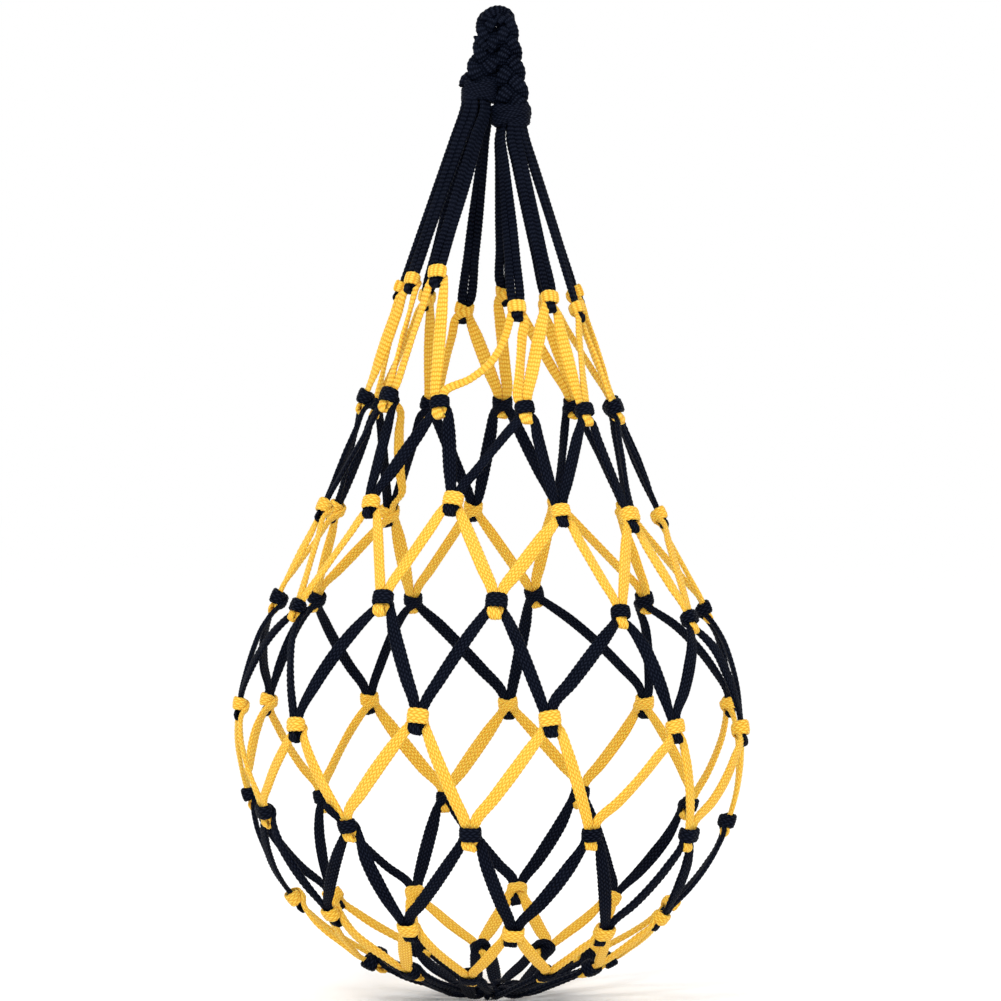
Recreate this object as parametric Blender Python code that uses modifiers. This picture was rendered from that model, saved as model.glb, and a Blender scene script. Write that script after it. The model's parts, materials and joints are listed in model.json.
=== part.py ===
"""Mesh ball bag: a knotted diamond net of flat braided cord, hanging from a short plaited handle.

Metres, +Z up, +X to the right, the front of the bag faces -Y. The origin is the lowest point of
the bag, on its axis. The net has the shape that a size 5 football of 220 mm gives it.
"""

import math

import bmesh
import bpy
from mathutils import Matrix, Vector

MM = 0.001

# ---- driving dimensions, in millimetres ----
GAP = 0.3                 # free space kept between neighbouring pieces
BALL_CENTRE_Z = 117.0     # height of the ball's centre above the lowest point
CORD_RADIUS_ON_BALL = 112.0   # radius of the sphere that the cords' centre lines lie on
TOP_Z = 441.6             # top of the handle

CORD_THICKNESS = 2.2
CORD_HALF_WIDTH = 3.2     # the flat braid lies open in the middle of a leg
LEG_END_HALF_WIDTH = 1.8  # and is pinched where it leaves a knot
NECK_HALF_WIDTH = 1.15    # and is narrowest where two legs pass through a knot
BAND_HALF_HEIGHT = 3.2    # the turn of cord that shows on the front of a knot
NECK_ABOVE_BAND = 2.0     # how far above that turn the two legs start to close in
LEG_START_OUT = 1.8       # a leg leaves its knot this far beside the turn of cord
LEG_START_DOWN = 5.2      # and this far below it
WRAP_CLEARANCE = 0.75     # between the two legs and the turn of cord round them
SPLIT_FOOT = 2.6          # where the mouth divides, each leg stands this far from the middle

MESHES = 11               # meshes round the net
PITCH = 360.0 / MESHES

# Rows of knots from the mouth down. Each has a height above the ball's centre, a radius, and the
# azimuth of its first knot in degrees: 0 faces the front and positive is to the right. Rows are
# staggered by about half a mesh, and the whole net hangs with a slight twist.
ROW_B = (147.5, 57.0, -16.0)
ROW_C = (102.0, 74.5, -10.2)
ROW_D = (60.0, 95.0, 3.9)
ROW_E = (11.0, 111.5, 14.0)
ROW_F = (-34.0, 106.8, 26.0)
ROW_G = (-77.0, 82.0, 38.5)
ROW_H = (-100.0, 52.0, 54.0)

# The net is tied by hand, so its knots stray from their rows. Each pair is how far a knot strays
# round the net in degrees, and how far up along the net in millimetres.
STRAY_B = (
    (-6, 0), (-1.5, -2.5), (-4, -3), (-8, -1), (-10, 1), (-9, 2),
    (-6, 3), (-4, 2), (-2, 2), (-1, 4), (-3, 4),
)
STRAY_C = (
    (-2, 4), (1.5, -1.5), (-2, -3.5), (5, -3), (4, 0), (2, 2),
    (0, 0), (-1, -2), (-3, 0), (-5, 1), (-1, 2.5),
)
STRAY_D = (
    (-2, 3), (-1, -2.5), (-6, -6), (-7, -3), (-3, 0), (0, 2),
    (2, -1), (4, 1), (6, 2.5), (1, -0.5), (0, 4),
)
STRAY_E = (
    (-1, 3), (-2, -2), (0, -6), (-8, 3), (-5, 0), (-2, -2),
    (0, 1), (2, 3), (2, 4.5), (4, -1.5), (3, 4),
)
STRAY_F = (
    (-2, -1), (-4, -4.5), (-6, -2.5), (-3, 0), (0, 2), (2, -1),
    (4, 2), (6, 8), (8, 5), (5.5, 2), (2.5, 0),
)
STRAY_G = (
    (0, -4), (-5, 0), (-3, 2), (0, -1), (2, 1), (3, 0),
    (4, 3), (5, 8), (6, 5), (2, 0), (1.5, -2),
)
STRAY_H = (
    (5, 0), (3, 1), (2, -1), (0, 1), (0, 0), (0, 2),
    (2, 1), (3, 3), (3, 0), (1.5, -3), (7, 0),
)

# The mouth row: its knots are drawn into a left and a right group, and hang at uneven heights.
# Each knot has an azimuth, a height above the ball's centre and a radius.
MOUTH_KNOTS = (
    (325.5, 205.5, 40.5),
    (17.0, 190.0, 41.0),
    (41.0, 194.5, 40.5),
    (72.0, 191.0, 41.0),
    (108.0, 199.0, 40.5),
    (140.0, 197.0, 40.5),
    (170.0, 201.0, 40.0),
    (197.0, 193.0, 40.5),
    (226.0, 198.0, 40.0),
    (262.0, 201.0, 40.5),
    (304.5, 203.0, 41.5),
)
MOUTH_LEAN = -19.0                  # the neck narrows upwards, degrees from upright
MOUTH_MIDDLE = (197.0, 40.5)        # mean height above the ball's centre, and mean radius
RIGHT_STRAPS = range(1, 7)          # knots 1 to 6 gather into the right half of the handle
LEFT_STRAPS = (7, 8, 9, 10, 0)      # and the other five into the left half

# ---- the doubled straps of the neck ----
STRAP_HALF_WIDTH = 1.6              # of each of a strap's two legs, where they hang free
STRAP_END_HALF_WIDTH = 0.95         # and where they are gathered under the handle
STRAP_RING_RADIUS = 6.2             # the ends stand in a ring of this radius
STRAP_END_DROP = 1.2                # this far below the handle's knot
STRAP_MIDDLE = 0.4                  # the free middle of a leg, as a share of its length
STRAP_SPREAD = 1.3                  # each leg bows this far to its side there

# ---- the handle ----
KNOT_RADIUS = 7.4
LEFT_KNOT = (-6.2, 0.0, BALL_CENTRE_Z + 288.0)
RIGHT_KNOT = (10.2, 0.0, BALL_CENTRE_Z + 276.0)
CROWN_X = 3.0                       # the plane of the fold at the top of the handle
CROWN_HEIGHT = 9.0
CROWN_HALF_WIDTH = 7.6
CROWN_HALF_DEPTH = 5.6
CROWN_FLAT = 3.4                    # half of the level stretch on top of the fold
CROWN_SHOULDER = 0.35               # its sides stand upright for this share of its height
CROWN_ARC_STEPS = 5
STRAND_RADIUS = 1.55
PLAIT_DEPTH = 4.2                   # swing of a strand from front to back
PLAIT_WIDTH = 2.3                   # swing of a strand from side to side
PLAIT_PITCH = 30.0
PLAIT_OFFSET = 4.1                  # each half of the handle from the plane of the fold
PLAIT_FOOT_GAP = 0.6                # between a strand's end and the knot below it
PLAIT_STEP = 2.6                    # length of one straight step of a strand
WELD_DISTANCE = 0.01
BALL_KNOT_SEGMENTS = 16
BALL_KNOT_RINGS = 10

# ---- the gathered base ----
BASE_RING_RADIUS = 11.0
BASE_RING_CORD_RADIUS = 1.1
BASE_RING_SEGMENTS = 3 * MESHES
BASE_RING_CORD_SEGMENTS = 6
BASE_TURN = 0.4                     # the loops hang this share of a mesh past the last knots
BASE_LOOP_Z = 4.6
BASE_LOOP_HALF_WIDTH = 1.7
BASE_LOOP_DEPTH = 5.0               # a loop closes this far outside the ring
BASE_LOOP_TWIST = 13.0              # and its outgoing leg stands on edge this far outside it
BASE_KNOT_RADIUS = 4.6
BASE_KNOT_HEIGHT = 6.4
BASE_KNOT_ROUNDING = 1.4
BASE_KNOT_SEGMENTS = 20

# ---- the yellow cord's end, carried down inside the back, in the frames of two knots ----
CARRIED_CORD_KNOT = 7
CARRIED_CORD_START = (19.5, -1.0, -8.0)
CARRIED_CORD_END = (2.0, 13.0, -8.0)
CARRIED_CORD_BOW = 1.5

# ---- joint axes ----
MOUTH_PIVOT_X = 58.5
MOUTH_PIVOT_Z = BALL_CENTRE_Z + ROW_B[0] + 3.0

CORD_ROUGHNESS = 0.62
BLACK = (0.012, 0.013, 0.019, 1.0)
YELLOW = (0.93, 0.56, 0.035, 1.0)

collection = bpy.data.collections.new("mesh_ball_bag")


def clear_scene():
    for obj in list(bpy.data.objects):
        bpy.data.objects.remove(obj, do_unlink=True)
    bpy.context.scene.collection.children.link(collection)


def cord_material(name, colour):
    material = bpy.data.materials.new(name)
    material.use_nodes = True
    shader = material.node_tree.nodes["Principled BSDF"]
    shader.inputs["Base Color"].default_value = colour
    shader.inputs["Roughness"].default_value = CORD_ROUGHNESS
    shader.inputs["Metallic"].default_value = 0.0
    material.diffuse_color = colour
    return material


def finish_object(obj, pivot, colour):
    """Link a piece whose data is in millimetres of the bag's frame, and hang it on its pivot."""
    origin = Vector((0, 0, 0)) if pivot is None else pivot["at"]
    obj.data.transform(Matrix.Translation(-origin) @ Matrix.Scale(MM, 4))
    obj.data.materials.append(cord_material(obj.name + "_cord", colour))
    obj.parent = None if pivot is None else pivot["empty"]
    collection.objects.link(obj)
    return obj


def make_pivot(name, at_mm, parent=None):
    """An empty on a joint's axis, which the pieces that turn with that joint hang on."""
    at = Vector(at_mm) * MM
    empty = bpy.data.objects.new(name, None)
    empty.empty_display_size = 0.01
    empty.location = at - parent["at"] if parent else at
    empty.parent = parent["empty"] if parent else None
    collection.objects.link(empty)
    return {"empty": empty, "at": at}


class Knot:
    """The local frame of a knot: u to its right, v up along the net and w out of it."""

    def __init__(self, azimuth, height, radius, lean):
        turn = math.radians(azimuth)
        tip = math.radians(lean)
        out = Vector((math.sin(turn), -math.cos(turn), 0))
        up = Vector((0, 0, 1))
        self.centre = out * radius + up * height
        self.u = Vector((math.cos(turn), math.sin(turn), 0))
        self.v = out * math.sin(tip) + up * math.cos(tip)
        self.w = self.u.cross(self.v)

    def at(self, u, v, w):
        return self.centre + self.u * u + self.v * v + self.w * w


def lean_between(upper, lower):
    """The angle of the net from upright between two rows, positive where it widens upwards."""
    return math.degrees(math.atan2(upper[1] - lower[1], upper[0] - lower[0]))


def knot_row(row, above, below, strays):
    height, radius, first = row
    lean = lean_between(above, below)
    climb = math.cos(math.radians(lean))
    spread = math.sin(math.radians(lean))
    knots = []
    for index, (round_net, along_net) in enumerate(strays):
        azimuth = first + index * PITCH + round_net
        own_height = BALL_CENTRE_Z + height + along_net * climb
        knots.append(Knot(azimuth, own_height, radius + along_net * spread, lean))
    return knots


def mouth_row():
    return [
        Knot(azimuth, BALL_CENTRE_Z + height, radius, MOUTH_LEAN)
        for azimuth, height, radius in MOUTH_KNOTS
    ]


def base_row():
    first = ROW_H[2] + BASE_TURN * PITCH
    return [
        Knot(first + i * PITCH, BASE_LOOP_Z, BASE_RING_RADIUS, 90.0) for i in range(MESHES)
    ]


# A cord is a list of stations. Each station is a point on its centre line, half of its width
# there, the way its face looks, and None or a fixed direction for its upper edge.

def station(point, half_width, face, edge=None):
    return {"point": point, "half_width": half_width, "face": face, "edge": edge}


def wrap_stations(knot):
    """One turn of cord round the two legs of the course above, from the left leg to the right.

    The left leg climbs behind the neck, comes forward on the right, crosses the front as the
    band that shows, goes back on the left, and leaves behind its own first pass.
    """
    side = 2 * NECK_HALF_WIDTH + WRAP_CLEARANCE + CORD_THICKNESS / 2
    front = CORD_THICKNESS + GAP
    behind = front + CORD_THICKNESS + GAP
    leg_out = side + LEG_START_OUT
    leg_down = BAND_HALF_HEIGHT + LEG_START_DOWN
    return [
        station(knot.at(-leg_out, -leg_down, -front), LEG_END_HALF_WIDTH, knot.w),
        station(knot.at(side, 0, -front), BAND_HALF_HEIGHT, knot.w, knot.v),
        station(knot.at(side, 0, front), BAND_HALF_HEIGHT, knot.w, knot.v),
        station(knot.at(-side, 0, front), BAND_HALF_HEIGHT, knot.w, knot.v),
        station(knot.at(-side, 0, -behind), BAND_HALF_HEIGHT, knot.w, knot.v),
        station(knot.at(leg_out, -leg_down, -behind), LEG_END_HALF_WIDTH, knot.w),
    ]


def neck_stations(knot):
    """The foot of a V: down through the turn of cord of the course below, round, and up again."""
    side = NECK_HALF_WIDTH + GAP / 2
    top = BAND_HALF_HEIGHT + NECK_ABOVE_BAND
    foot = -BAND_HALF_HEIGHT - NECK_HALF_WIDTH - GAP
    return [
        station(knot.at(-side, top, 0), NECK_HALF_WIDTH, knot.w),
        station(knot.at(-side, foot, 0), NECK_HALF_WIDTH, knot.w),
        station(knot.at(side, foot, 0), NECK_HALF_WIDTH, knot.w),
        station(knot.at(side, top, 0), NECK_HALF_WIDTH, knot.w),
    ]


def short_foot_stations(knot, side=NECK_HALF_WIDTH + GAP / 2):
    """The foot of a V that stops above the row's turn of cord, because the mouth opens there.

    Its left leg comes down behind its right leg, since many of these legs hang askew and cross.
    """
    foot = BAND_HALF_HEIGHT + NECK_HALF_WIDTH + 2 * GAP
    depth = CORD_THICKNESS / 2 + GAP
    return [
        station(knot.at(-side, foot, -depth), NECK_HALF_WIDTH, knot.w),
        station(knot.at(side, foot, depth), NECK_HALF_WIDTH, knot.w),
    ]


def base_loop_stations(knot):
    """The foot of a V hooked round the draw ring: over it, past it and back under it.

    The flat cord comes out of the hook with its other face outwards, so its outgoing leg makes
    half a twist: it stands on edge in the last station here.
    """
    reach = BASE_RING_CORD_RADIUS + GAP + CORD_THICKNESS / 2
    width = BASE_LOOP_HALF_WIDTH
    return [
        station(knot.at(0, BASE_LOOP_DEPTH, -reach), width, knot.w, knot.u),
        station(knot.at(0, -reach, -reach), width, knot.w, knot.u),
        station(knot.at(0, -reach, reach), width, knot.w, knot.u),
        station(knot.at(0, BASE_LOOP_DEPTH, reach), width, knot.w, knot.u),
        station(knot.at(0, BASE_LOOP_TWIST, 0), width, knot.w, knot.w),
    ]


def leg_middle(start, end):
    """The middle of a leg, which lies on the ball where a straight leg would cut into it."""
    middle = (start["point"] + end["point"]) / 2
    across = Vector((middle.x, middle.y, 0))
    height = middle.z - BALL_CENTRE_Z
    ball_radius = math.sqrt(max(CORD_RADIUS_ON_BALL ** 2 - height ** 2, 0))
    radius = max(across.length, ball_radius)
    point = across.normalized() * radius + Vector((0, 0, middle.z))
    face = (start["face"] + end["face"]).normalized()
    return station(point, CORD_HALF_WIDTH, face)


def join_with_legs(groups, cyclic):
    """Put one station in the middle of the leg between each knot and the next."""
    stations = []
    for index, group in enumerate(groups):
        stations.extend(group)
        last = index == len(groups) - 1
        if cyclic or not last:
            following = groups[(index + 1) % len(groups)]
            stations.append(leg_middle(group[-1], following[0]))
    return stations


def edge_vector(stations, index, cyclic):
    """Half of the cord's width as a vector, mitred where the cord bends in its own plane."""
    here = stations[index]
    if here["edge"] is not None:
        return here["edge"] * here["half_width"]
    count = len(stations)
    before = stations[index - 1] if cyclic or index > 0 else None
    after = stations[(index + 1) % count] if cyclic or index < count - 1 else None
    lefts = []
    if before is not None:
        lefts.append(here["face"].cross(here["point"] - before["point"]).normalized())
    if after is not None:
        lefts.append(here["face"].cross(after["point"] - here["point"]).normalized())
    total = sum(lefts, Vector((0, 0, 0)))
    mitre = total * (2.0 / total.length_squared) if len(lefts) == 2 else total
    return mitre * here["half_width"]


def ribbon(name, stations, colour, pivot=None, cyclic=False):
    """A flat cord: an open strip along its stations, made solid with a Solidify modifier."""
    mesh = bpy.data.meshes.new(name)
    bm = bmesh.new()
    rails = []
    for index, here in enumerate(stations):
        edge = edge_vector(stations, index, cyclic)
        rails.append((bm.verts.new(here["point"] - edge), bm.verts.new(here["point"] + edge)))
    pairs = list(zip(rails, rails[1:]))
    if cyclic:
        pairs.append((rails[-1], rails[0]))
    for (low, high), (next_low, next_high) in pairs:
        bm.faces.new((low, next_low, next_high, high))
    bm.to_mesh(mesh)
    bm.free()
    obj = finish_object(bpy.data.objects.new(name, mesh), pivot, colour)
    solid = obj.modifiers.new("thickness", "SOLIDIFY")
    solid.thickness = CORD_THICKNESS * MM
    solid.offset = 0.0
    solid.use_even_offset = True
    return obj


def net_course(name, upper, lower, colour, feet=neck_stations):
    """One cord that zigzags once round the net, from a row of knots down to the next and back."""
    groups = []
    for top, bottom in zip(upper, lower):
        groups.append(wrap_stations(top))
        groups.append(feet(bottom))
    return ribbon(name, join_with_legs(groups, True), colour, cyclic=True)


def neck_course(name, indices, upper, lower, pivot):
    """Half of the yellow course at the mouth: it turns with one half of the neck."""
    first_foot = short_foot_stations(lower[indices[0] - 1], SPLIT_FOOT)
    last_foot = short_foot_stations(lower[indices[-1]], SPLIT_FOOT)
    groups = [first_foot[1:]]
    for index in indices:
        groups.append(wrap_stations(upper[index]))
        groups.append(short_foot_stations(lower[index]))
    groups[-1] = last_foot[:1]
    return ribbon(name, join_with_legs(groups, False), YELLOW, pivot)


def strap(name, knot, top_centre, top_angle, angle_step, pivot):
    """A black cord doubled over a mouth knot: two legs side by side up to the handle."""
    foot = neck_stations(knot)
    below_knot = Vector((0, 0, KNOT_RADIUS + STRAP_END_DROP))
    legs = []
    for sign in (-1, 1):
        angle = math.radians(top_angle + sign * angle_step / 4)
        away = Vector((math.cos(angle), math.sin(angle), 0))
        along = Vector((-math.sin(angle), math.cos(angle), 0))
        top = Vector(top_centre) - below_knot + away * STRAP_RING_RADIUS
        start = foot[0] if sign < 0 else foot[-1]
        middle = start["point"].lerp(top, STRAP_MIDDLE) + knot.u * STRAP_SPREAD * sign
        middle_face = knot.w.lerp(away, STRAP_MIDDLE).normalized()
        # the left leg runs down and the right leg up, so their edges point opposite ways
        legs.append([
            station(top, STRAP_END_HALF_WIDTH, away, along * -sign),
            station(middle, STRAP_HALF_WIDTH, middle_face),
        ])
    left, right = legs
    return ribbon(name, left + foot + right[::-1], BLACK, pivot)


def strap_group(side, indices, knots, top_centre, pivot):
    """Straps gather round the foot of their half of the handle in the order that they hang."""
    count = len(indices)
    step = 360.0 / count
    bearings = []
    for index in indices:
        away = knots[index].centre - Vector(top_centre)
        bearings.append(math.degrees(math.atan2(away.y, away.x)) % 360)
    if side == "right":
        bearings = [(bearing + 180) % 360 - 180 for bearing in bearings]
    order = sorted(range(count), key=lambda i: bearings[i])
    middle = sum(bearings) / count
    for rank, which in enumerate(order):
        top_angle = middle + (rank - (count - 1) / 2) * step
        name = f"strap_{side}_{which + 1}"
        strap(name, knots[indices[which]], top_centre, top_angle, step, pivot)


def ball_knot(name, centre, pivot):
    """The lump where the straps of one side are tied together."""
    bm = bmesh.new()
    bmesh.ops.create_uvsphere(
        bm, u_segments=BALL_KNOT_SEGMENTS, v_segments=BALL_KNOT_RINGS, radius=KNOT_RADIUS
    )
    bmesh.ops.translate(bm, verts=bm.verts, vec=Vector(centre))
    mesh = bpy.data.meshes.new(name)
    bm.to_mesh(mesh)
    bm.free()
    mesh.shade_smooth()
    return finish_object(bpy.data.objects.new(name, mesh), pivot, BLACK)


def plait_strand(name, foot, head, phase, pivot):
    """One of the three strands plaited along a half of the handle."""
    foot = Vector(foot)
    head = Vector(head)
    along = (head - foot).normalized()
    depth = Vector((0, 1, 0))
    width = depth.cross(along)
    length = (head - foot).length
    count = round(length / PLAIT_STEP)
    curve = bpy.data.curves.new(name, "CURVE")
    curve.dimensions = "3D"
    curve.bevel_depth = STRAND_RADIUS
    curve.bevel_resolution = 1
    curve.use_fill_caps = True
    spline = curve.splines.new("POLY")
    spline.points.add(count)
    for step, point in enumerate(spline.points):
        distance = length * step / count
        turn = math.tau * (distance / PLAIT_PITCH + phase)
        sway = depth * PLAIT_DEPTH * math.sin(turn) + width * PLAIT_WIDTH * math.sin(2 * turn)
        point.co = (*(foot + along * distance + sway), 1)
    source = bpy.data.objects.new(name + "_curve", curve)
    collection.objects.link(source)
    graph = bpy.context.evaluated_depsgraph_get()
    mesh = bpy.data.meshes.new_from_object(source.evaluated_get(graph))
    bpy.data.objects.remove(source, do_unlink=True)
    bm = bmesh.new()
    bm.from_mesh(mesh)
    bmesh.ops.remove_doubles(bm, verts=bm.verts, dist=WELD_DISTANCE)
    bm.to_mesh(mesh)
    bm.free()
    mesh.shade_smooth()
    return finish_object(bpy.data.objects.new(name, mesh), pivot, BLACK)


def plait(side, foot_knot, sign, pivot):
    head = (CROWN_X + sign * PLAIT_OFFSET, 0, TOP_Z - CROWN_HEIGHT - STRAND_RADIUS - GAP)
    start = Vector(foot_knot)
    along = (Vector(head) - start).normalized()
    foot = start + along * (KNOT_RADIUS + STRAND_RADIUS + PLAIT_FOOT_GAP)
    for strand in range(3):
        plait_strand(f"plait_{side}_strand_{strand + 1}", foot, head, strand / 3, pivot)


def crown(side, sign, pivot):
    """Half of the fold at the top: a quarter round outside, with a short flat on top."""
    inner = GAP / 2
    flat_end = inner + CROWN_FLAT
    outline = [(inner, 0.0), (CROWN_HALF_WIDTH, 0.0)]
    for step in range(CROWN_ARC_STEPS + 1):
        angle = math.pi / 2 * step / CROWN_ARC_STEPS
        across = flat_end + (CROWN_HALF_WIDTH - flat_end) * math.cos(angle)
        rise = CROWN_SHOULDER + (1 - CROWN_SHOULDER) * math.sin(angle)
        outline.append((across, CROWN_HEIGHT * rise))
    outline.append((inner, CROWN_HEIGHT))
    bm = bmesh.new()
    corners = [
        bm.verts.new((CROWN_X + sign * across, -CROWN_HALF_DEPTH, TOP_Z - CROWN_HEIGHT + up))
        for across, up in outline
    ]
    face = bm.faces.new(corners)
    grown = bmesh.ops.extrude_face_region(bm, geom=[face])
    moved = [item for item in grown["geom"] if isinstance(item, bmesh.types.BMVert)]
    bmesh.ops.translate(bm, verts=moved, vec=(0, 2 * CROWN_HALF_DEPTH, 0))
    bmesh.ops.recalc_face_normals(bm, faces=bm.faces)
    name = f"handle_fold_{side}"
    mesh = bpy.data.meshes.new(name)
    bm.to_mesh(mesh)
    bm.free()
    return finish_object(bpy.data.objects.new(name, mesh), pivot, BLACK)


def base_ring():
    """The cord that draws the last row of loops together under the ball."""
    bpy.ops.mesh.primitive_torus_add(
        major_radius=BASE_RING_RADIUS,
        minor_radius=BASE_RING_CORD_RADIUS,
        major_segments=BASE_RING_SEGMENTS,
        minor_segments=BASE_RING_CORD_SEGMENTS,
    )
    source = bpy.context.object
    mesh = source.data
    bpy.data.objects.remove(source, do_unlink=True)
    mesh.transform(Matrix.Translation((0, 0, BASE_LOOP_Z)))
    mesh.shade_smooth()
    return finish_object(bpy.data.objects.new("base_draw_ring", mesh), None, BLACK)


def base_knot():
    """The tied end of the draw cord, pressed flat underneath where the bag is set down."""
    bm = bmesh.new()
    bmesh.ops.create_cone(
        bm,
        cap_ends=True,
        segments=BASE_KNOT_SEGMENTS,
        radius1=BASE_KNOT_RADIUS,
        radius2=BASE_KNOT_RADIUS,
        depth=BASE_KNOT_HEIGHT,
    )
    bmesh.ops.translate(bm, verts=bm.verts, vec=(0, 0, BASE_KNOT_HEIGHT / 2))
    mesh = bpy.data.meshes.new("base_closing_knot")
    bm.to_mesh(mesh)
    bm.free()
    obj = finish_object(bpy.data.objects.new("base_closing_knot", mesh), None, BLACK)
    rounding = obj.modifiers.new("rounding", "BEVEL")
    rounding.width = BASE_KNOT_ROUNDING * MM
    rounding.segments = 2
    rounding.limit_method = "ANGLE"
    return obj


def carried_cord(knots_b, knots_c):
    """The yellow cord's end, carried down the back from one yellow course to the next."""
    face = knots_b[CARRIED_CORD_KNOT].w
    start = knots_b[CARRIED_CORD_KNOT].at(*CARRIED_CORD_START)
    end = knots_c[CARRIED_CORD_KNOT].at(*CARRIED_CORD_END)
    middle = start.lerp(end, 0.5) + face * CARRIED_CORD_BOW
    stations = [
        station(start, LEG_END_HALF_WIDTH, face),
        station(middle, CORD_HALF_WIDTH, face),
        station(end, LEG_END_HALF_WIDTH, face),
    ]
    return ribbon("carried_cord_yellow", stations, YELLOW)


def build():
    clear_scene()
    mouth = mouth_row()
    base_middle = (BASE_LOOP_Z - BALL_CENTRE_Z, BASE_RING_RADIUS)
    row_b = knot_row(ROW_B, MOUTH_MIDDLE, ROW_C, STRAY_B)
    row_c = knot_row(ROW_C, ROW_B, ROW_D, STRAY_C)
    row_d = knot_row(ROW_D, ROW_C, ROW_E, STRAY_D)
    row_e = knot_row(ROW_E, ROW_D, ROW_F, STRAY_E)
    row_f = knot_row(ROW_F, ROW_E, ROW_G, STRAY_F)
    row_g = knot_row(ROW_G, ROW_F, ROW_H, STRAY_G)
    row_h = knot_row(ROW_H, ROW_G, base_middle, STRAY_H)
    base = base_row()

    net_course("net_course_3_black", row_b, row_c, BLACK)
    net_course("net_course_4_yellow", row_c, row_d, YELLOW)
    net_course("net_course_5_black", row_d, row_e, BLACK)
    net_course("net_course_6_yellow", row_e, row_f, YELLOW)
    net_course("net_course_7_black", row_f, row_g, BLACK)
    net_course("net_course_8_yellow", row_g, row_h, YELLOW)
    net_course("net_course_9_black", row_h, base, BLACK, base_loop_stations)
    base_ring()
    base_knot()

    left_neck = make_pivot("mouth_left_axis", (-MOUTH_PIVOT_X, 0, MOUTH_PIVOT_Z))
    right_neck = make_pivot("mouth_right_axis", (MOUTH_PIVOT_X, 0, MOUTH_PIVOT_Z))
    left_tie = make_pivot("handle_flop_axis", LEFT_KNOT, left_neck)
    left_handle = make_pivot("handle_left_axis", LEFT_KNOT, left_tie)
    right_handle = make_pivot("handle_fold_axis", (CROWN_X, 0, TOP_Z), left_handle)

    neck_course("neck_course_left_yellow", LEFT_STRAPS, mouth, row_b, left_neck)
    neck_course("neck_course_right_yellow", RIGHT_STRAPS, mouth, row_b, right_neck)
    strap_group("left", LEFT_STRAPS, mouth, LEFT_KNOT, left_neck)
    strap_group("right", RIGHT_STRAPS, mouth, RIGHT_KNOT, right_neck)
    ball_knot("handle_knot_left", LEFT_KNOT, left_tie)
    ball_knot("handle_knot_right", RIGHT_KNOT, right_neck)
    plait("left", LEFT_KNOT, -1, left_handle)
    plait("right", RIGHT_KNOT, 1, right_handle)
    crown("left", -1, left_handle)
    crown("right", 1, right_handle)
    carried_cord(row_b, row_c)


build()
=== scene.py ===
"""Looks of the mesh ball bag: every cord, knot and strap, with its braid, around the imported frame.

The shapes are worked out in millimetres and written to the scene in metres. Where a knot, a strap
or the handle stands is measured from the frame's own nodes; how a cord runs through a knot is
drawn once, in the knot's own frame, and repeated for every knot of the net.
"""

import json
import math

import bpy
import numpy as np
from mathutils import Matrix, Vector


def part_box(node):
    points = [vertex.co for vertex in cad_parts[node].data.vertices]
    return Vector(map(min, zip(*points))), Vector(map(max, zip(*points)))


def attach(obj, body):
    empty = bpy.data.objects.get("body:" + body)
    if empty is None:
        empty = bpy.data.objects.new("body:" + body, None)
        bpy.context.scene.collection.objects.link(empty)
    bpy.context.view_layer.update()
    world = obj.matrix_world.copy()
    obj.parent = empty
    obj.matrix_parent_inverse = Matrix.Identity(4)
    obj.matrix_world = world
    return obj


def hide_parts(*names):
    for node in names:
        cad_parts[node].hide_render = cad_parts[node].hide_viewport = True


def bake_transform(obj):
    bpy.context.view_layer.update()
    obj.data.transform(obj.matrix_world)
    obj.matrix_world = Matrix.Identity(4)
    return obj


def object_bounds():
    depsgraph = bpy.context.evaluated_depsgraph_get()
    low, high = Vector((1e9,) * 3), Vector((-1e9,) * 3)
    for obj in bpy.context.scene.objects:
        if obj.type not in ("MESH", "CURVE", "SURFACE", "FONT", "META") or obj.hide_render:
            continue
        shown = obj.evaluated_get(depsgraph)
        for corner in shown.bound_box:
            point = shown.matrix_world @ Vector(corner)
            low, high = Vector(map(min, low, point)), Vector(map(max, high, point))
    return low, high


MM = 0.001

# ---- the braid ----
RINGS_PER_STITCH = 4      # cross-sections that draw a stitch
COLUMNS = 12              # stitches round a cord: five on each face and one on each edge
SECTION_POINTS = 2 * COLUMNS
SECTION_POWER = 2.7       # a flat braid's section is between an ellipse and a box
SECTION_SAMPLES = 2001    # steps in which its outline is measured
RELIEF = 0.28             # height of a stitch over the grooves round it
NET_STITCH = 2.4          # length of one stitch along a cord of the net
NET_STAGGER = 0.25        # neighbouring columns are out of step by twice this share of a stitch
RIB_STITCH = 2.0          # the same two in the cords above the net, which are pulled straight
RIB_STAGGER = 0.05
SPACING_POWER = 0.7       # a curve's parameter grows by this power of its length
FINE_STEPS = 12           # steps to a control point in which length is measured
EDGE_SMOOTHING = 3        # passes that even out the direction of a cord's width
SIZE_SMOOTHING = 4        # and its size

# ---- a leg, the free run of cord between two knots ----
LEG_HALF_WIDTH = 3.1
LEG_HALF_THICKNESS = 1.0
LEG_ROLL = 24.0           # a leg on the ball is rolled by up to this many degrees
FREE_LEG_ROLL = 48.0      # and one that hangs free above it by up to this many
LEG_SHARES = (0.25, 0.5, 0.75)      # where its control points lie
LEG_SCALE = (0.88, 1.04)  # a leg is this much narrower or wider
LEG_PINCH = 0.82          # share of its width that it has at a knot
LEG_SWELL = 0.18          # and what is added to that in the middle

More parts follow.
